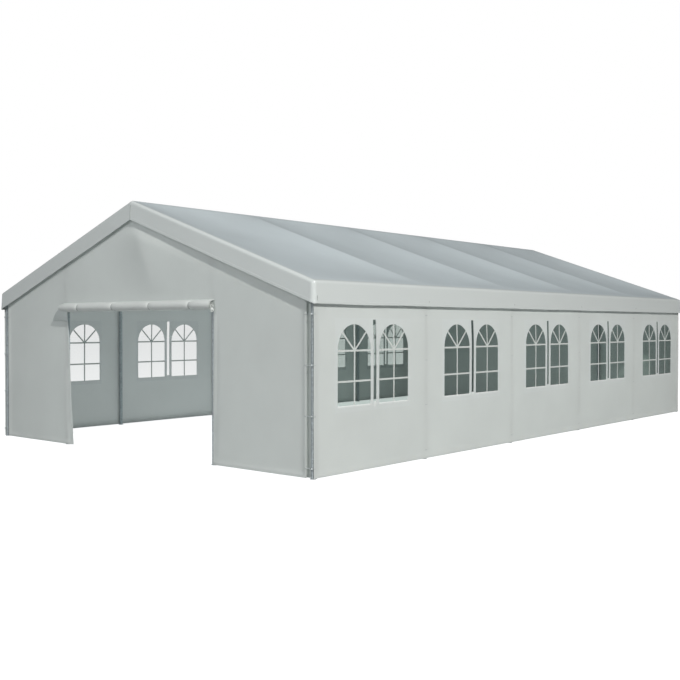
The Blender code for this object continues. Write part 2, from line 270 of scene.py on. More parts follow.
# Painted shade: the dark grey of the hem slots' insides.
SLOT_SHADE = plastic_material("painted_slot_shade", (0.30, 0.32, 0.31), roughness=0.5)
# Painted shade: the right windows' film is tinted darker and greener than the left's to darken the panes
# seen from outside; it is one film.
FILMS = {"left": film_material("left_window_film", (0.885, 0.891, 0.889)),
         "right": film_material("right_window_film", (0.71, 0.755, 0.735))}
WELDED_FILM = film_material("welded_window_film", (0.985, 0.985, 0.985))


# Mesh helpers

def add_object(name, data, place=(0, 0, 0), turn=(0, 0, 0)):
    made = bpy.data.objects.new(name, data)
    made.location = place
    made.rotation_euler = turn
    bpy.context.scene.collection.objects.link(made)
    return made


def object_from(name, points, faces, materials, replaced, slot, kinds=None, sharp=40):
    """A piece of the part, shaded smooth but for edges sharper than the angle given."""
    mesh = bpy.data.meshes.new(name)
    mesh.from_pydata([tuple(point) for point in points], [], faces)
    for material in materials:
        mesh.materials.append(material)
    if kinds is not None:
        mesh.polygons.foreach_set("material_index", np.asarray(kinds, np.int32))
    mesh.shade_smooth()
    mesh.set_sharp_from_angle(angle=math.radians(sharp))
    made = add_object(name, mesh)
    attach(made, "root")
    if replaced:
        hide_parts(*replaced)
    return made


def point_normals(points, faces):
    """Directions square to a sheet at its points."""
    first, second, third, last = (points[[face[corner] for face in faces]] for corner in (0, 1, 2, -1))
    across = np.cross(third - first, last - second) + np.cross(second - first, third - first)
    summed = np.zeros_like(points)
    for corner in range(4):
        rows = [row for row, face in enumerate(faces) if len(face) > corner]
        np.add.at(summed, [faces[row][corner] for row in rows], across[rows])
    return summed / np.maximum(np.linalg.norm(summed, axis=1), 1e-12)[:, None]


def fabric(name, points, faces, materials, replaced=(), slot="wall_fabric", kinds=None, thickness=THICKNESS,
           cut=None, edge=None):
    """A closed thin sheet, from its outer face with faces that run anticlockwise seen from outside."""
    points = np.asarray(points, float)
    faces = [tuple(int(corner) for corner in face) for face in faces]
    count = len(points)
    back = points - thickness * point_normals(points, faces)
    owner = {}
    for row, face in enumerate(faces):
        for start, end in zip(face, face[1:] + face[:1]):
            owner[start, end] = row
    rim = [(start, end, row) for (start, end), row in owner.items() if (end, start) not in owner]
    all_faces = faces + [tuple(count + corner for corner in reversed(face)) for face in faces]
    all_faces += [(end, start, count + start, count + end) for start, end, row in rim]
    if kinds is not None:
        kinds = list(kinds) + list(kinds) + [kinds[row] for start, end, row in rim]
    made = object_from(name, np.vstack((points, back)), all_faces, materials, replaced, slot, kinds)
    mesh = made.data
    corners = np.zeros(len(mesh.loops), np.int32)
    mesh.loops.foreach_get("vertex_index", corners)
    if cut is not None:
        layer = mesh.uv_layers.new(name="cut")
        layer.data.foreach_set("uv", np.asarray(cut, np.float32)[corners % count].ravel())
    # The edge share marks where the sheet takes its second colour: painted light.
    if edge is not None:
        painted_edge_mark = mesh.attributes.new("edge", "FLOAT", "POINT")
        painted_edge_mark.data.foreach_set("value", np.tile(np.asarray(edge, np.float32), 2))
    return made


def spread(path, spacing=GRID, closed=False):
    """A path's points or numbers with more between them, no further apart than the spacing."""
    path = [np.asarray(point, float) for point in path]
    ends = path[1:] + path[:1] if closed else path[1:]
    points = []
    for start, end in zip(path, ends):
        count = max(1, math.ceil(np.linalg.norm(end - start) / spacing - 1e-6))
        points += [start + (end - start) * step / count for step in range(count)]
    return points if closed else points + [path[-1]]


def inside(points, *polygons):
    """Which of the points lie in the first polygon but in none of the others, which are holes in it."""
    x, y = points.T
    found = np.zeros(len(points), bool)
    for polygon in polygons:
        for (x1, y1), (x2, y2) in zip(polygon, looped(polygon)[1:]):
            if y1 != y2:
                found ^= ((y1 > y) != (y2 > y)) & (x < (x2 - x1) * (y - y1) / (y2 - y1) + x1)
    return found


def looped(path):
    """A path that ends where it starts."""
    return path + path[:1]


def flat_mesh(outline, holes=(), lines=(), spacing=GRID):
    """Points and triangles of a flat sheet with its holes and lines as exact edges."""
    points, edges, fence = [], [], []
    for path, is_loop in [(loop, True) for loop in (outline, *holes)] + [(line, False) for line in lines]:
        first = len(points)
        more = spread(path, spacing, is_loop)
        points += more
        count = len(more) if is_loop else len(more) - 1
        edges += [(first + step, first + (step + 1) % len(more)) for step in range(count)]
        fence += spread(path, spacing / 4, is_loop)
    tree = KDTree(len(fence))
    for number, point in enumerate(fence):
        tree.insert((*point, 0), number)
    tree.balance()
    low, high = np.min(outline, 0), np.max(outline, 0)
    steps = np.maximum(1, np.ceil((high - low) / spacing)).astype(int)
    across, up = np.meshgrid(*(np.linspace(low[axis], high[axis], steps[axis] + 1) for axis in (0, 1)))
    grid = np.column_stack((across.ravel(), up.ravel()))
    grid = grid[inside(grid, outline, *holes)]
    points += [point for point in grid if tree.find((*point, 0))[2] > 0.45 * spacing]
    made = delaunay_2d_cdt([Vector(point) for point in points], edges, [], 0, 1e-6)
    flat, triangles = np.array(made[0]), np.array(made[2])
    triangles = triangles[inside(flat[triangles].mean(1), outline, *holes)]
    a, b, c = (flat[triangles[:, corner]] for corner in range(3))
    area = (b[:, 0] - a[:, 0]) * (c[:, 1] - a[:, 1]) - (b[:, 1] - a[:, 1]) * (c[:, 0] - a[:, 0])
    real = np.abs(area) > 1e-9
    triangles, area = triangles[real], area[real]
    triangles[area < 0] = triangles[area < 0][:, ::-1]
    used, corners = np.unique(triangles, return_inverse=True)
    return flat[used], corners.reshape(-1, 3)


def laid(place, side, outline, out, spacing=GRID):
    """Points and triangles of a flat shape laid on a wall, whose place function is given."""
    flat, triangles = flat_mesh(outline, spacing=spacing)
    return place(side, flat, out), triangles


def merge(parts):
    """Several (points, faces) lists as one."""
    points, faces = [], []
    for more_points, more_faces in parts:
        first = len(points)
        points += [tuple(point) for point in more_points]
        faces += [tuple(first + corner for corner in face) for face in more_faces]
    return points, faces


def ring_points(centre, across, upward, radius, sides):
    centre = Vector(centre)
    turns = [2 * math.pi * step / sides for step in range(sides)]
    return [centre + radius * (math.cos(turn) * across + math.sin(turn) * upward) for turn in turns]


def loft(rings, joined=False):
    """Rings of points joined one to the next, and the last one to the first or with flat ends."""
    count = len(rings[0])
    points = [point for ring in rings for point in ring]
    faces = []
    for row in range(len(rings) if joined else len(rings) - 1):
        first, second = row * count, (row + 1) % len(rings) * count
        for step in range(count):
            after = (step + 1) % count
            faces.append((first + step, first + after, second + after, second + step))
    if not joined:
        faces.append(tuple(reversed(range(count))))
        faces.append(tuple(range(len(points) - count, len(points))))
    return points, faces


def frame_of(direction):
    """Two directions square to the one given, so that across x upward = direction."""
    direction = Vector(direction).normalized()
    across = direction.orthogonal().normalized()
    return across, direction.cross(across)


def lathe(profile, base, direction, sides=24, joined=False):
    """A turned solid: (radius, distance along the direction) pairs."""
    direction = Vector(direction).normalized()
    across, upward = frame_of(direction)
    return loft([ring_points(Vector(base) + direction * along, across, upward, radius, sides)
                 for radius, along in profile], joined)


def pipe(path, radius, sides=10, closed=False):
    """A round bar along a path of points."""
    path = [Vector(point) for point in path]
    rings = []
    upward = None
    beyond = [path[-1], *path, path[0]] if closed else [path[0], *path, path[-1]]
    for before, point, after in zip(beyond, path, beyond[2:]):
        along = (after - before).normalized()
        if upward is None:
            across, upward = frame_of(along)
        across = upward.cross(along).normalized()
        upward = along.cross(across)
        rings.append(ring_points(point, across, upward, radius, sides))
    return loft(rings, closed)


def torus(centre, direction, radius, thick, steps=18, sides=8):
    across, upward = frame_of(direction)
    return pipe(ring_points(centre, across, upward, radius, steps), thick, sides, closed=True)


def ball(centre, radius):
    turns = [math.pi * step / 12 for step in range(1, 12)]
    return lathe([(radius * math.sin(turn), -radius * math.cos(turn)) for turn in turns], centre, UP, 18)


def piece(name, parts, material, replaced=(), slot="wall_fabric", sharp=40):
    """One piece of several solid parts, with the nodes that it stands for and its finish."""
    object_from(name, *merge(parts), [material], replaced, slot, sharp=sharp)


def noise(u, v, seed, scale):
    """Smooth waves from a few sines, between -1 and 1."""
    draw = random.Random(seed)
    total = 0.0
    for _ in range(5):
        turn = draw.uniform(0, math.pi)
        wave = scale * draw.uniform(0.7, 1.6)
        along = np.cos(turn) * u + np.sin(turn) * v
        total = total + np.sin(along * 2 * math.pi / wave + draw.uniform(0, 6.3))
    return total / 3.2


def smooth_step(value):
    value = np.clip(value, 0, 1)
    return value * value * (3 - 2 * value)


# Roof cover: one sewn sheet, with the hems that hang from it all round

def rounded(x, y, z):
    """Points of the sharp-edged roof moved onto its rounded shape, and their outward x and y."""
    side = np.sign(x) + (x == 0)
    x = np.abs(x)
    lean = math.hypot(1, SLOPE)
    top = RIDGE_Z - EDGE_RADIUS * lean
    limit = HALF_WIDTH - EDGE_RADIUS
    height = (z - (top - SLOPE * x)) / lean
    foot_x, foot_z = x - np.maximum(height, 0) * SLOPE / lean, z - np.maximum(height, 0) / lean
    corner_z = top - SLOPE * limit
    inner_x = np.clip(foot_x, 0, limit)
    inner_z = np.where(foot_x > limit, np.minimum(z, corner_z), foot_z)
    inner_z = np.where(foot_x < 0, top, inner_z)
    inner_y = np.clip(y, EDGE_RADIUS - HALF_LENGTH, HALF_LENGTH - EDGE_RADIUS)
    gap = np.stack((x - inner_x, y - inner_y, z - inner_z))
    gap *= EDGE_RADIUS / np.maximum(np.linalg.norm(gap, axis=0), 1e-9)
    out_x, out_y = side * gap[0] / EDGE_RADIUS, gap[1] / EDGE_RADIUS
    return side * (inner_x + gap[0]), inner_y + gap[1], inner_z + gap[2], out_x, out_y


def hang_out(place, drops, seed):
    """How far a hanging side stands out, at a place along it and a distance down."""
    return (FLARE + 0.002 * noise(place, 0 * place, seed, 1.5)) * smooth_step(drops / DROP)


def sag(x, y):
    """How far the roof hangs between the rafters, as a membrane held along four sides."""
    start, end = 0.05, POST_X - 0.05
    along = np.clip((np.abs(x) - start) / (end - start), 0, 1)
    fading = 1 - 0.25 * smooth_step(along * 1.1)
    total = np.zeros_like(x)
    for low, high, factor in zip(FRAME_Y, FRAME_Y[1:], BAY_SAGS):
        width = high - low
        near = np.minimum(y - low, high - y)
        eased = np.sqrt(np.maximum(near, 0) ** 2 + CREST ** 2) - CREST
        share = np.where(y - low < high - y, eased / width, 1 - eased / width)
        depth = np.zeros_like(x)
        for order in (1, 3, 5):
            reach = order * math.pi * (end - start) / width
            level = 1 - np.cosh(reach * (along - 0.5)) / math.cosh(reach / 2)
            depth += level * np.sin(order * math.pi * share) / order ** 3
        total += np.where((y > low) & (y < high), depth * fading * SAG * factor, 0)
    return total


def build_roof_cover():
    near = [EDGE_RADIUS * share for share in (0.25, 0.5, 0.75, 1.0, 1.4)]
    hem_top = DROP - HEM
    down = spread([0, *near, hem_top - 0.005, hem_top - 0.002, hem_top, hem_top + 0.003, DROP])
    half_x = [0, 0.004, 0.012, 0.03, 0.06, *(HALF_WIDTH - step for step in reversed(near)), HALF_WIDTH]
    half_x = spread(half_x)
    across = [-x for x in reversed(half_x[1:])] + half_x
    stops = {end * (HALF_LENGTH - step) for end in (-1, 1) for step in (0, *near)}
    stops |= {y + step for y in FRAME_Y for step in (-0.025, -0.01, 0, 0.01, 0.025)}
    along = spread(sorted(stops))
    width, length, hang = len(across), len(along), len(down)
    numbers = {}
    points, cut, drops = [], [], []

    def point(column, row):
        """Number of a point of the flat cut; those beyond 0 or the last column or row hang down."""
        over_x = max(-column, column - width + 1, 0)
        over_y = max(-row, row - length + 1, 0)
        key = min(max(column, 0), width - 1), min(max(row, 0), length - 1), max(over_x, over_y)
        if key not in numbers:
            numbers[key] = len(points)
            x, y, drop = across[key[0]], along[key[1]], down[key[2]]
            points.append((x, y, RIDGE_Z - SLOPE * abs(x) - drop))
            beyond = [math.copysign(drop, x) * bool(over_x), math.copysign(drop, y) * bool(over_y)]
            cut.append((x + beyond[0], y + beyond[1]))
            drops.append(drop)
        return numbers[key]

    faces = []
    for row in range(1 - hang, length + hang - 2):
        for column in range(1 - hang, width + hang - 2):
            hangs_x = column < 0 or column >= width - 1
            hangs_y = row < 0 or row >= length - 1
            if not (hangs_x and hangs_y):
                faces.append([point(column + right, row + ahead) for right, ahead in rectangle(0, 0, 1, 1)])
    x, y, z = np.array(points).T
    drops = np.array(drops)
    on_top = drops == 0
    hanging = smooth_step(drops / DROP)
    shape_x, shape_y, shape_z, out_x, out_y = rounded(x, y, z)
    hem = np.where(drops > hem_top - 0.001, HEM_RISE, 0)
    outward = np.where(np.abs(y) >= HALF_LENGTH - 1e-6, hang_out(x, drops, 4), hang_out(y, drops, 3)) + hem
    at_corner = (np.abs(out_x) > 0.01) & (np.abs(out_y) > 0.01)
    outward = np.where(at_corner, FLARE * hanging + hem, outward)
    shape_x += out_x * outward
    shape_y += out_y * outward
    shape_z += noise(y, x, 6, 1.1) * 0.0025 * hanging - np.where(on_top, sag(x, y), 0)
    # The hems and a band over the rounded edges take the second colour, and the top takes the bluer first
    # one: painted light.
    to_edge = np.where(on_top, np.minimum(HALF_WIDTH - np.abs(x), HALF_LENGTH - np.abs(y)), drops)
    painted_edge_band = np.where(on_top, smooth_step((0.06 - to_edge) / 0.04), 1.0)
    nodes = ("roof_left_slope", "roof_right_slope", "left_valance", "right_valance",
             "front_fascia", "rear_fascia")
    cover = fabric("roof_cover", np.column_stack((shape_x, shape_y, shape_z)), faces, [ROOF], nodes,
                   "roof_fabric", cut=cut, edge=painted_edge_band)


# Long walls

def arch(centre):
    """Outline of an arched window, anticlockwise from its lower left corner."""
    turns = [math.pi * step / ARCH_STEPS for step in range(ARCH_STEPS + 1)]
    curve = [(centre + WINDOW_RADIUS * math.cos(turn), SPRING + WINDOW_RADIUS * math.sin(turn))
             for turn in turns]
    return [(centre - WINDOW_RADIUS, SILL), (centre + WINDOW_RADIUS, SILL)] + curve


def rectangle(low_u, low_v, high_u, high_v):
    return [(low_u, low_v), (high_u, low_v), (high_u, high_v), (low_u, high_v)]


def bay_openings(centre):
    """Outlines of a bay's two windows and of the strip between them."""
    return [arch(centre - WINDOW_OFFSET), arch(centre + WINDOW_OFFSET),
            rectangle(centre - STRIP_WIDTH / 2, STRIP_BOTTOM, centre + STRIP_WIDTH / 2, STRIP_TOP)]


def film_patch(centre, inset=0):
    """Outline of the film behind a bay's openings, or of a smaller one inside it."""
    return rectangle(centre - PATCH_HALF_WIDTH + inset, PATCH_BOTTOM + inset,
                     centre + PATCH_HALF_WIDTH - inset, PATCH_TOP - inset)


def wall_bulge(y, z, seed):
    """How far a long wall stands out from its plane: slack between the posts and drawn in at its hems."""
    up = np.clip((z - WALL_BOTTOM) / (WALL_HELD_Z - WALL_BOTTOM), 0, 1)
    slack = smooth_step(up / 0.35) * smooth_step((1 - up) / 0.3)
    total = (1 + noise(y, z, seed, 1.6)) * 0.0025 * slack
    for low, high, bulge in zip(FRAME_Y, FRAME_Y[1:], BAY_BULGES):
        share = np.clip((y - low) / (high - low), 0, 1)
        total += bulge * np.sin(math.pi * share) ** 1.3 * slack
    return total + 0.004 * noise(y, 0 * y, seed + 1, 0.8) * smooth_step((0.3 - z) / 0.3)


def wall_place(side, flat, out):
    """Points of a long wall from its flat cut, whose u runs along +Y on the right and -Y on the left."""
    y, z = flat[:, 0] * side, flat[:, 1]
    x = SIDE_WALL_X + wall_bulge(y, z, 11 if side > 0 else 21) + out
    return np.column_stack((side * x, y, z))


def hem_rise(distance):
    return HEM_RISE * smooth_step((HEM - distance) / 0.002 + 1)


def build_long_wall(side, word):
    end, height = SIDE_END, SIDE_WALL_TOP - WALL_BOTTOM
    holes = [opening for centre in BAY_CENTRES for opening in bay_openings(centre)]
    lines = [looped(film_patch(centre)) for centre in BAY_CENTRES]
    lines += [looped(rectangle(-end + inset, WALL_BOTTOM + inset, end - inset, SIDE_WALL_TOP - inset))
              for inset in HEM_INSETS]
    flat, triangles = flat_mesh(rectangle(-end, WALL_BOTTOM, end, SIDE_WALL_TOP), holes, lines)
    u, v = flat.T
    to_edge = np.minimum(np.minimum(end - np.abs(u), v - WALL_BOTTOM), SIDE_WALL_TOP - v)
    middles = flat[triangles].mean(1)
    over_film = np.any([inside(middles, film_patch(centre)) for centre in BAY_CENTRES], axis=0)
    wall = fabric(f"{word}_wall_sheet", wall_place(side, flat, hem_rise(to_edge)), triangles, [WALL, PATCH],
                  [f"{word}_wall"], kinds=over_film, cut=flat)


def build_films(side, word):
    """The films behind the windows. Where a film lies on the fabric round them, it is almost clear."""
    parts, kinds = [], []
    for centre in BAY_CENTRES:
        panes = bay_openings(centre)
        lines = [looped(pane) for pane in panes]
        flat, triangles = flat_mesh(film_patch(centre, inset=0.008), lines=lines, spacing=0.07)
        ripple = 0.0006 * noise(flat[:, 0], flat[:, 1], 31 + round(centre), 0.5)
        parts.append((wall_place(side, flat, -THICKNESS - 0.0016 + ripple), triangles))
        middles = flat[triangles].mean(1)
        kinds += list(~np.any([inside(middles, pane) for pane in panes], axis=0))
    fabric(f"{word}_window_films", *merge(parts), [FILMS[word], WELDED_FILM], [f"{word}_window_film"],
           "window_film", kinds, thickness=0.0005)


def bar_outline(start, end, width=BAR_WIDTH):
    start, end = np.array(start), np.array(end)
    along = (end - start) / np.linalg.norm(end - start)
    across = np.array((-along[1], along[0])) * width / 2
    return [start - across, end - across, end + across, start + across]


def build_window_bars(side, word):
    """Flat white bars, sill strips and strip tags, welded to the film in and beside each window."""
    parts, kinds = [], []

    def strip(outline, out, kind=0):
        parts.append(laid(wall_place, side, outline, out, 0.08))
        kinds.extend([kind] * len(parts[-1][1]))

    reach = WINDOW_RADIUS + 0.004
    level = -THICKNESS - 0.0002
    for centre in BAY_CENTRES:
        for window in (centre - WINDOW_OFFSET, centre + WINDOW_OFFSET):
            strip(bar_outline((window, SILL - 0.004), (window, SPRING + reach)), level)
            for height in BAR_HEIGHTS:
                strip(bar_outline((window - reach, height), (window + reach, height)), level - 0.0001)
            for turn in (math.pi / 4, 3 * math.pi / 4):
                tip = (window + reach * math.cos(turn), BAR_HEIGHTS[1] + reach * math.sin(turn))
                strip(bar_outline((window, BAR_HEIGHTS[1]), tip), level - 0.0002)
            half = WINDOW_RADIUS + 0.012
            strip(rectangle(window - half, SILL - 0.016, window + half, SILL + 0.001), 0.0016, kind=1)
        tag = rectangle(centre - 0.013, STRIP_BOTTOM - 0.06, centre + 0.013, STRIP_BOTTOM + 0.004)
        strip(tag, 0.0018, kind=1)
    fabric(f"{word}_window_bars", *merge(parts), [BAR, WHITE], kinds=kinds, thickness=0.0008)


# Gable walls

def gable_top(x):
    """Height of a gable wall's upper edge over x."""
    return GABLE_TOP - SLOPE * np.abs(x)


def front_fold(x, z):
    """The soft crease from the front gable's top to its doorway."""
    head = np.clip((GABLE_TOP - 0.1 - z) / (GABLE_TOP - DOOR_HEAD - 0.24), 0, 1)
    crease = 0.05 + 0.38 * head
    height = 0.04 * np.sin(math.pi * head ** 0.9)
    rounding = 0.06
    left, right = (np.sqrt(np.maximum(beside, 0) ** 2 + rounding ** 2) - rounding
                   for beside in (crease - x, x - crease))
    return height * np.exp(-left / 0.35 - right / 0.6) * smooth_step((gable_top(x) - z - 0.17) / 0.25)


def gable_place(end, flat, out):
    """Points of a gable wall from its flat cut, whose u runs along +X at the front and -X at the rear."""
    flat = np.asarray(flat, float)
    x, z = flat[:, 0] * -end, flat[:, 1]
    slack = smooth_step((GABLE_EDGE - np.abs(x)) / 0.5) * smooth_step((gable_top(x) - z - 0.12) / 0.35)
    wave = (1 + noise(x, z, 41 if end < 0 else 51, 1.5)) * 0.004 * slack
    tucked = np.maximum(np.abs(x) - GABLE_EDGE, 0)
    back = np.minimum(tucked, TUCK_BACK) / math.sqrt(2)
    y = GABLE_WALL_Y + wave + out * (tucked == 0) - back
    if end < 0:
        y = y + front_fold(x, z)
    reach = np.minimum(np.abs(x), GABLE_EDGE) - back + np.maximum(tucked - TUCK_BACK, 0)
    return np.column_stack((np.sign(x) * reach, end * y, z))


def gable_rim():
    """Outline of a gable wall from its right foot over its top to its left foot, with both tucks."""
    half, full = GABLE_EDGE, GABLE_EDGE + TUCK_LENGTH
    right = [(full, WALL_BOTTOM), (full, TUCK_TOP), (half, TUCK_SHOULDER), (half, gable_top(half))]
    return right + [(0, GABLE_TOP)] + [(-x, z) for x, z in reversed(right)]


def door_edge(side, z):
    """X of the doorway's edge at a height: side -1 is the left one."""
    foot, head = (DOOR_LEFT_FOOT, DOOR_LEFT_HEAD) if side < 0 else (DOOR_RIGHT_FOOT, DOOR_RIGHT_HEAD)
    return foot + (head - foot) * (z / DOOR_HEAD)


def gable_hem(inset, has_doorway):
    """A line inside a gable wall's edges, and round its doorway if it has one."""
    half, low, shoulder = GABLE_EDGE - inset, WALL_BOTTOM + inset, gable_top(GABLE_EDGE) - inset
    left, right = DOOR_LEFT_HEAD - inset, DOOR_RIGHT_HEAD + inset
    doorway = [(door_edge(-1, inset) - inset, low), (left, DOOR_HEAD), (left, DOOR_HEAD + inset),
               (right, DOOR_HEAD + inset), (right, DOOR_HEAD), (door_edge(1, inset) + inset, low)]
    return looped([(-half, low), *(doorway if has_doorway else ()), (half, low), (half, shoulder),
                   (0, GABLE_TOP - 1.06 * inset), (-half, shoulder)])


def build_gable(end, word, rafter, *nodes):
    is_front = end < 0
    outline, spacing, curl = gable_rim(), GRID, 0
    area = GABLE_EDGE * (gable_top(GABLE_EDGE) + GABLE_TOP - 2 * WALL_BOTTOM)
    area += TUCK_LENGTH * (TUCK_TOP + TUCK_SHOULDER - 2 * WALL_BOTTOM)
    if is_front:
        outline = [(door_edge(-1, WALL_BOTTOM), WALL_BOTTOM), (DOOR_LEFT_HEAD, DOOR_HEAD),
                   (DOOR_RIGHT_HEAD, DOOR_HEAD), (door_edge(1, WALL_BOTTOM), WALL_BOTTOM)] + outline
        spacing = 0.045
        area -= DOOR_HEAD * (DOOR_RIGHT_HEAD - DOOR_LEFT_HEAD + DOOR_RIGHT_FOOT - DOOR_LEFT_FOOT) / 2
    bends = ((GABLE_EDGE, TUCK_SHOULDER), (GABLE_EDGE + TUCK_BACK, TUCK_TOP))
    lines = [[(side * x, WALL_BOTTOM), (side * x, top)] for side in (-1, 1) for x, top in bends]
    lines += [gable_hem(inset, is_front) for inset in HEM_INSETS]
    flat, triangles = flat_mesh(outline, (), lines, spacing)
    x, z = flat.T
    to_edge = np.minimum(np.abs(GABLE_EDGE - np.abs(x)), z - WALL_BOTTOM)
    if is_front:
        beside = np.where(x < 0, door_edge(-1, z) - x, x - door_edge(1, z))
        beside = np.where(z < DOOR_HEAD, beside, 9.0)
        to_edge = np.minimum(to_edge, beside)
        curl = 0.012 * smooth_step((0.12 - beside) / 0.12) * smooth_step((DOOR_HEAD - z) / 0.6)
    wall = fabric(f"{word}_gable_sheet", gable_place(end, flat, hem_rise(to_edge) - curl), triangles, [WALL],
                  nodes, cut=flat)


def build_rear_door_flaps():
    """Flaps over the zips of the closed rear door, and the seam over its head."""
    parts = []
    for foot, head in ((-DOOR_RIGHT_FOOT, -DOOR_RIGHT_HEAD), (-DOOR_LEFT_FOOT, -DOOR_LEFT_HEAD)):
        flap = bar_outline((foot, WALL_BOTTOM + 0.01), (head, DOOR_HEAD + 0.02), width=0.05)
        parts.append(laid(gable_place, 1, flap, 0.0035))
    parts.append(laid(gable_place, 1, rectangle(-1.53, DOOR_HEAD - 0.02, 1.49, DOOR_HEAD + 0.03), 0.0055))
    points, faces = merge(parts)
    fabric("rear_door_zip_flaps", points, faces, [WALL], cut=np.array(points)[:, [0, 2]])


# The rolled-up door panel

def roll_radius(x):
    """Outer radius of the roll along its length: drawn in at the ties and at both ends."""
    pull = np.zeros_like(x)
    for tie in TIE_X:
        pull = np.maximum(pull, np.exp(-np.abs(x - tie) / 0.03))
    ends = np.exp(-np.minimum(x - ROLL_LEFT, ROLL_RIGHT - x) / 0.06)
    lumps = 0.0012 * noise(x, 0 * x, 61, 0.5)
    return ROLL_RADIUS - (ROLL_RADIUS - ROLL_WAIST) * np.maximum(pull, 0.6 * ends) + lumps


def hermite(start, start_slope, end, end_slope, steps):
    """Points along a smooth curve, without its last one."""
    start, start_slope, end, end_slope = map(np.array, (start, start_slope, end, end_slope))
    return [(2 * t ** 3 - 3 * t ** 2 + 1) * start + (t ** 3 - 2 * t ** 2 + t) * start_slope
            + (3 * t ** 2 - 2 * t ** 3) * end + (t ** 3 - t ** 2) * end_slope
            for t in (step / steps for step in range(steps))]


def on_roll(radius, step):
    """A point of the wound-up panel, in steps from where it first touches the roll."""
    turn = ROLL_FIRST_ANGLE + 2 * math.pi * step / ROLL_SIDES
    reach = radius + (ROLL_CORE - radius) * step / (ROLL_TURNS * ROLL_SIDES)
    return np.array((ROLL_Y + reach * math.cos(turn), ROLL_Z + reach * math.sin(turn)))


def build_door_roll():
    """The door panel: it leaves the gable wall, runs over the front of its roll and winds up inside it."""
    near_tie = (-0.09, -0.05, -0.025, -0.01, 0, 0.01, 0.025, 0.05, 0.09)
    stops = sorted([ROLL_LEFT, ROLL_RIGHT] + [tie + step for tie in TIE_X for step in near_tie])
    stations = np.array(spread(stops, 0.06))
    wall_y = gable_place(-1, [(x, ROLL_START) for x in stations], 0.0016)[:, 1]
    tangent = np.array((-math.sin(ROLL_FIRST_ANGLE), math.cos(ROLL_FIRST_ANGLE)))
    columns = []
    for x, radius, back in zip(stations, roll_radius(stations), wall_y):
        path = hermite((back, ROLL_START), (-0.02, -0.02), on_roll(radius, 0), 0.05 * tangent, 8)
        path += [on_roll(radius, step) for step in range(ROLL_TURNS * ROLL_SIDES + 1)]
        columns.append([(x, *place) for place in path])
    rows, width = len(columns[0]), len(columns)
    points = [column[row] for row in range(rows) for column in columns]
    cut = [(x, -row * 0.01) for row in range(rows) for x in stations]
    corners = [row * width + column for row in range(rows - 1) for column in range(width - 1)]
    faces = [(corner, corner + width, corner + width + 1, corner + 1) for corner in corners]
    roll = fabric("door_roll", points, faces, [DOOR_PAINTED_LIGHTER], ["front_door_roll"], cut=cut)


def build_roll_ties():
    """Straps round the roll, dark grey as painted shade of the creases where they pinch it, and the knot at
    its end.
    """
    straps = []
    for x in TIE_X:
        radius = float(roll_radius(x)) + 0.0014
        rings = []
        for step in range(TIE_SIDES):
            angle = 2 * math.pi * step / TIE_SIDES
            across = Vector((0, math.cos(angle), math.sin(angle)))
            middle = Vector((x, ROLL_Y, ROLL_Z)) + radius * across
            half = Vector((TIE_HALF_WIDTH, 0, 0))
            rings.append([middle - half, middle + half, middle + half + TIE_THICKNESS * across,
                          middle - half + TIE_THICKNESS * across])
        straps.append(loft(rings, joined=True))
    piece("door_roll_ties", straps, SHADE_GREY, sharp=50)
    knot = Vector((ROLL_RIGHT + 0.014, ROLL_Y, ROLL_Z - 0.046))
    loops = [torus(knot + Vector((0.004, 0, -0.008)), (0.5, -1, 0.2), 0.020, 0.005),
             torus(knot + Vector((-0.004, 0.004, 0.030)), (1, -0.5, 0.1), 0.018, 0.004),
             ball(knot, 0.019)]
    piece("door_roll_knot", loops, BAR, sharp=50)


def build_door_flap():
    """The panel's loose corner, which hangs from the left end of the roll."""
    flat, triangles = flat_mesh(FLAP_OUTLINE, spacing=0.025)
    x, z = flat.T
    drop = np.clip((FLAP_TOP - z) / FLAP_HEIGHT, 0, 1)
    out = 0.010 + 0.100 * (1 - drop ** 1.6) + 0.010 * np.sin(drop * 5) * np.clip((-1.34 - x) / 0.3, 0, 1)
    fabric("door_corner_flap", np.column_stack((x, -(GABLE_WALL_Y + out), z)), triangles, [DOOR_BACK],
           cut=flat)


# Frame tubes

TUBE_END = [(TUBE_RADIUS - 0.002, 0.0), (TUBE_RADIUS, 0.0015)]
SLEEVE_END = [(TUBE_RADIUS + 0.0008, 0.0), (SLEEVE_RADIUS - 0.001, 0.0), (SLEEVE_RADIUS, 0.001)]


def tube_between(start, end, profile, joined=False):
    """A tube with the same profile, in (radius, distance) pairs, at both ends."""
    start, end = Vector(start), Vector(end)
    length = (end - start).length
    far = [(radius, length - along) for radius, along in reversed(profile)]
    return lathe(profile + far, start, end - start, 28, joined)


def wing_bolt(place, direction):
    """A bolt with a wing head, its shank along the direction."""
    across, upward = frame_of(direction)
    shank = lathe([(0.004, 0.0), (0.004, 0.016), (0.0075, 0.017), (0.0075, 0.021), (0.006, 0.022)],
                  place, direction, 14)
    wing = pipe([place + direction * 0.022 + across * reach + direction * 0.006 * abs(reach) / 0.014
                 for reach in (-0.014, -0.008, 0, 0.008, 0.014)], 0.0024, 8)
    return [shank, wing]


def post_on_foot(x, y, top, *weld):
    """A tube that stands on a round foot plate."""
    foot = [(FOOT_RADIUS - 0.001, 0.0), (FOOT_RADIUS, 0.001), (FOOT_RADIUS, 0.004),
            (FOOT_RADIUS - 0.001, 0.005), (TUBE_RADIUS + 0.004, 0.005), *weld, (TUBE_RADIUS, 0.010)]
    return lathe(foot + [(TUBE_RADIUS, top)], (x, y, 0), UP, 32)


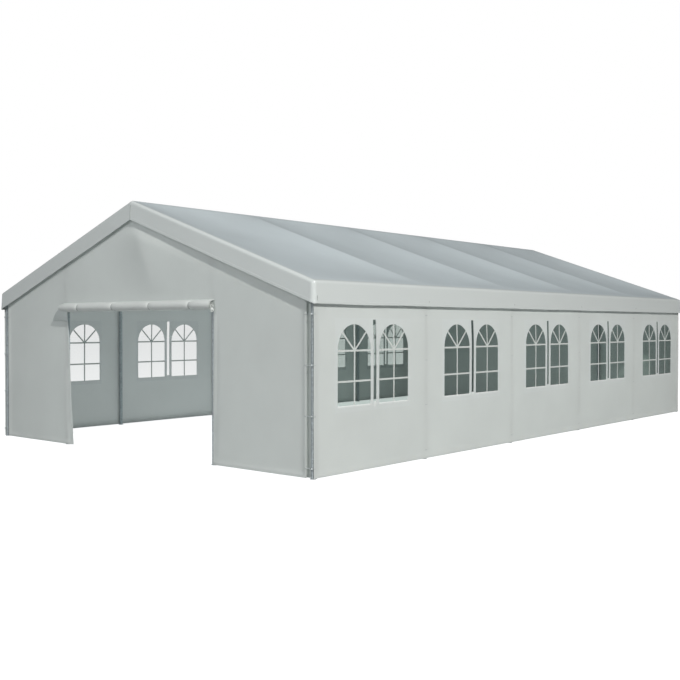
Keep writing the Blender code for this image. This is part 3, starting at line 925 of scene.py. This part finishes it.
def build_posts():
    """Side posts, each with a weld bead round its foot."""
    for (side, word), (number, y) in product(SIDES, enumerate(FRAME_Y, start=1)):
        shape = post_on_foot(side * POST_X, y, POST_TOP, (TUBE_RADIUS + 0.0015, 0.0075))
        piece(f"{word}_side_post_{number}", [shape], STEEL, [f"{word}_post_{number}"], "galvanised_steel")


def build_gable_posts():
    """The four posts beside the doorways, each hung on its end rafter by a ring."""
    ring_z = RIDGE_TUBE_Z - SLOPE * GABLE_POST_X
    ring = [(TUBE_RADIUS + 0.0006, -0.05), (SLEEVE_RADIUS, -0.05), (SLEEVE_RADIUS, 0.05),
            (TUBE_RADIUS + 0.0006, 0.05)]
    for (end, end_word), (side, word) in product(((-1, "front"), (1, "rear")), SIDES):
        x, y = side * GABLE_POST_X, end * GABLE_POST_Y
        shapes = [post_on_foot(x, y, ring_z - SLEEVE_RADIUS * 0.9),
                  lathe(ring, (x, y, ring_z), (SLOPE_X, 0, -side * SLOPE_Z), 32, joined=True)]
        piece(f"{end_word}_{word}_door_post", shapes, STEEL, [f"{end_word}_{word}_gable_post"],
              "galvanised_steel")


def build_rafters():
    for side, word in SIDES:
        low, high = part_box(f"{word}_rafter_1")
        inner, outer = (low.x, high.x) if side > 0 else (high.x, low.x)
        for number, y in enumerate(FRAME_Y, start=1):
            start, end = ((x, y, RIDGE_TUBE_Z - SLOPE * abs(x)) for x in (inner, outer))
            piece(f"{word}_roof_beam_{number}", [tube_between(start, end, TUBE_END)], STEEL,
                  [f"{word}_rafter_{number}"], "galvanised_steel")


def build_tube_runs():
    """Ridge and eave tubes with the sleeves, sockets and wing bolts of their connectors."""
    reach_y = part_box("ridge_tube")[1].y
    for name, x, z in (("ridge_tube", 0.0, RIDGE_TUBE_Z), ("left_eave_tube", -POST_X, EAVE_TUBE_Z),
                       ("right_eave_tube", POST_X, EAVE_TUBE_Z)):
        if x == 0:
            arms = [Vector((side * SLOPE_X, 0, -SLOPE_Z)) for side in (-1, 1)]
        else:
            arms = [Vector((-math.copysign(SLOPE_X, x), 0, SLOPE_Z)), Vector((0, 0, -1))]
        steel = [tube_between((x, 0.002 - reach_y, z), (x, reach_y - 0.002, z), TUBE_END)]
        bolts = []
        for y in FRAME_Y:
            hub = Vector((x, y, z))
            sleeves = [((x, max(y - 0.08, -reach_y), z), (x, min(y + 0.08, reach_y), z))]
            sleeves += [(hub + arm * 0.03, hub + arm * 0.15) for arm in arms]
            steel += [tube_between(start, end, SLEEVE_END, joined=True) for start, end in sleeves]
            inward = Vector((0, -1 if y > 0 else 1, 0))
            for arm in arms:
                bolts += wing_bolt(hub + arm * 0.105 + inward * (SLEEVE_RADIUS - 0.004), inward)
        piece(f"{name}_run", steel, STEEL, [name], "galvanised_steel")
        piece(f"{name}_bolts", bolts, BOLT, slot="galvanised_steel")


def build_wall_ties():
    """Elastic loops with balls that hold the walls' edges to the posts, through eyelets."""
    loops, balls, rings = [], [], []
    side_x, side_y = SIDE_WALL_X, SIDE_END - 0.022
    gable_x, gable_y = GABLE_EDGE - 0.022, GABLE_WALL_Y
    corner_loop = [(side_x + 0.004, side_y), (side_x + 0.003, SIDE_END + 0.003), (POST_X, gable_y + 0.003),
                   (gable_x, gable_y + 0.004), (gable_x - 0.002, gable_y - 0.006),
                   (POST_X - 0.028, FRAME_Y[-1] - 0.014), (POST_X - 0.006, FRAME_Y[-1] - 0.028),
                   (side_x - 0.006, side_y - 0.006)]
    post_loop = [(side_x + 0.004, -0.016), (side_x + 0.004, 0.016), (POST_X + 0.004, 0.029),
                 (POST_X - 0.02, 0.021), (POST_X - 0.029, 0.0), (POST_X - 0.02, -0.021),
                 (POST_X + 0.004, -0.029)]
    for side, y, z in product((-1, 1), FRAME_Y, TIE_HEIGHTS):
        end = (y > 4) - (y < -4)
        if end:
            path = [(side * px, end * py, z) for px, py in corner_loop]
            balls.append(ball((side * (POST_X + 0.012), end * (gable_y + 0.008), z), 0.0105))
            rings.append(torus((side * side_x, end * side_y, z), (1, 0, 0), 0.009, 0.0018, 16, 6))
            rings.append(torus((side * gable_x, end * gable_y, z), (0, 1, 0), 0.009, 0.0018, 16, 6))
        else:
            path = [(side * px, y + py, z) for px, py in post_loop]
            balls.append(ball((side * (POST_X - 0.04), y, z), 0.0125))
        loops.append(pipe(path, 0.0022, 6, closed=True))
    piece("wall_tie_loops", loops, KNOB)
    piece("wall_tie_balls", balls, KNOB)
    piece("wall_eyelets", rings, BAR)


def build_valance_marks():
    """Dark grey blocks in the roof's side hems at the frames: painted shade standing for the insides of the
    slots.
    """
    slots = []
    for side, y in product((-1, 1), FRAME_Y):
        z, height, width = 1.87, 0.016, 0.005
        if abs(y) > 4:
            y, z, height, width = math.copysign(HALF_LENGTH - 0.045, y), 1.865, 0.068, 0.007
        shape = rectangle(y - width / 2, z - height / 2, y + width / 2, z + height / 2)
        x = HALF_WIDTH + hang_out(y, EAVE_Z - z, 3) + 0.0015
        slots.append(loft([[(side * (x - depth), *corner) for corner in shape] for depth in (0, 0.014)]))
    piece("hem_slots", slots, SLOT_SHADE, slot="roof_fabric", sharp=30)


def build_fascia_seams():
    """The welded seam down the middle of each end hem, with a grey line beside it: painted shade along the
    seam's edge.
    """
    parts, kinds = [], []
    for end in (-1, 1):
        for kind, (low, high) in enumerate(((0.003, 0.016), (-0.003, 0.003))):
            outline = rectangle(low, RIDGE_Z - DROP + 0.004, high, RIDGE_Z - EDGE_RADIUS * 1.4)
            flat, triangles = flat_mesh(outline)
            x, z = flat[:, 0] * -end, flat[:, 1]
            y = HALF_LENGTH + hang_out(x, RIDGE_Z - SLOPE * np.abs(x) - z, 4) + HEM_RISE + 0.0008
            parts.append((np.column_stack((x, end * y, z)), triangles))
            kinds += [kind] * len(triangles)
    fabric("fascia_seams", *merge(parts), [BAR, SHADE_GREY], slot="roof_fabric", kinds=kinds, thickness=0.0007)


build_roof_cover()
for side, word in SIDES:
    build_long_wall(side, word)
    build_films(side, word)
    build_window_bars(side, word)
build_gable(-1, "front", 1, "front_wall_left", "front_wall_right", "front_gable_panel")
build_gable(1, "rear", len(FRAME_Y), "rear_gable_wall")
build_rear_door_flaps()
build_door_roll()
build_roll_ties()
build_door_flap()
build_posts()
build_gable_posts()
build_rafters()
build_tube_runs()
build_wall_ties()
build_valance_marks()
build_fascia_seams()


# Floor, light and camera

def floor_material(name, glow_strength):
    """White to the eye, and grey with a glow for the light that leaves it; the glow fades to both ends."""
    made, add = blank_material(name)
    along = add("SeparateXYZ", {0: add("TexCoord", out="Object")}, "Y")
    share = add("MapRange", {"Value": along, "From Min": -5.0, "From Max": 5.0})
    faded = add("ValToRGB", {0: share}, "Color")
    elements = faded.node.color_ramp.elements
    for position in (0.26, 0.75):
        elements.new(position)
    for element, level in zip(elements, (0.6, 1.0, 1.0, 0.3)):
        element.color = (level, level, level, 1)
    strength = add("Math", {0: faded, 1: glow_strength}, operation="MULTIPLY")
    body = add("BsdfDiffuse", {"Color": (0.45, 0.46, 0.46, 1.0)})
    white = add("Emission", {"Color": (1.0, 1.0, 1.0, 1.0), "Strength": 0.9})
    glow = add("Emission", {"Color": (0.96, 1.0, 1.0, 1.0), "Strength": strength})
    lit, bright = (add("AddShader", {0: body, 1: light}) for light in (glow, white))
    both = add("MixShader", {0: add("LightPath", out="Is Camera Ray"), 1: lit, 2: bright})
    add("OutputMaterial", {"Surface": both})
    return made


def build_floor(name, material, half_x, half_y, lift=0):
    mesh = bpy.data.meshes.new(name)
    corners = rectangle(-half_x, -half_y, half_x, half_y)
    mesh.from_pydata([(x, y, lift) for x, y in corners], [], [(0, 1, 2, 3)])
    mesh.materials.append(material)
    add_object(name, mesh)


def area_light(name, place, size, power, colour):
    """A lamp that points at the middle of the tent."""
    lamp = bpy.data.lights.new(name, "AREA")
    lamp.shape = "DISK"
    lamp.size = size
    lamp.energy = power
    lamp.color = colour
    aim = Vector((0, 0, 1)) - Vector(place)
    add_object(name, lamp, place, aim.to_track_quat("-Z", "Y").to_euler())


def build_light():
    """A crisp key from the right, a broad low light from the front, and a pale surrounding."""
    world = bpy.data.worlds.new("studio")
    bpy.context.scene.world = world
    world.use_nodes = True
    world.node_tree.nodes.clear()
    add = partial(add_node, world.node_tree)
    direction = add("TexCoord", out="Generated")
    facing = add("VectorMath", {0: direction, 1: (0.15, -0.70, 0.70)}, "Value", operation="DOT_PRODUCT")
    ramp = add("ValToRGB", {0: add("MapRange", {"Value": facing, "From Min": -0.25})})
    dark, light = ramp.node.color_ramp.elements
    dark.color = (0.08, 0.083, 0.088, 1)
    light.color = (0.27, 0.28, 0.29, 1)
    ambient = add("Background", {"Color": ramp})
    white = add("Background", {"Color": (1, 1, 1, 1)})
    both = add("MixShader", {0: add("LightPath", out="Is Camera Ray"), 1: ambient, 2: white})
    add("OutputWorld", {"Surface": both})
    area_light("key", (30.0, -15.0, 22.0), size=1.0, power=12200, colour=(1.0, 0.99, 0.965))
    area_light("front", (2.0, -22.0, 11.0), size=6.0, power=880, colour=(0.96, 0.98, 1.0))


def build_camera():
    camera = bpy.data.cameras.new("camera")
    camera.lens = CAMERA_LENS
    camera.sensor_width = 36
    turn = (math.radians(90 + CAMERA_PITCH), 0, math.radians(CAMERA_YAW))
    bpy.context.scene.camera = add_object("camera", camera, CAMERA_PLACE, turn)


build_floor("floor", floor_material("pale_floor", 0.0), 90, 90)
build_floor("inner_floor", floor_material("bright_floor", 0.83), POST_X - 0.05, WALL_HIGH.y - 0.02, 0.0005)
build_light()
build_camera()
bpy.context.scene.view_settings.view_transform = "Standard"
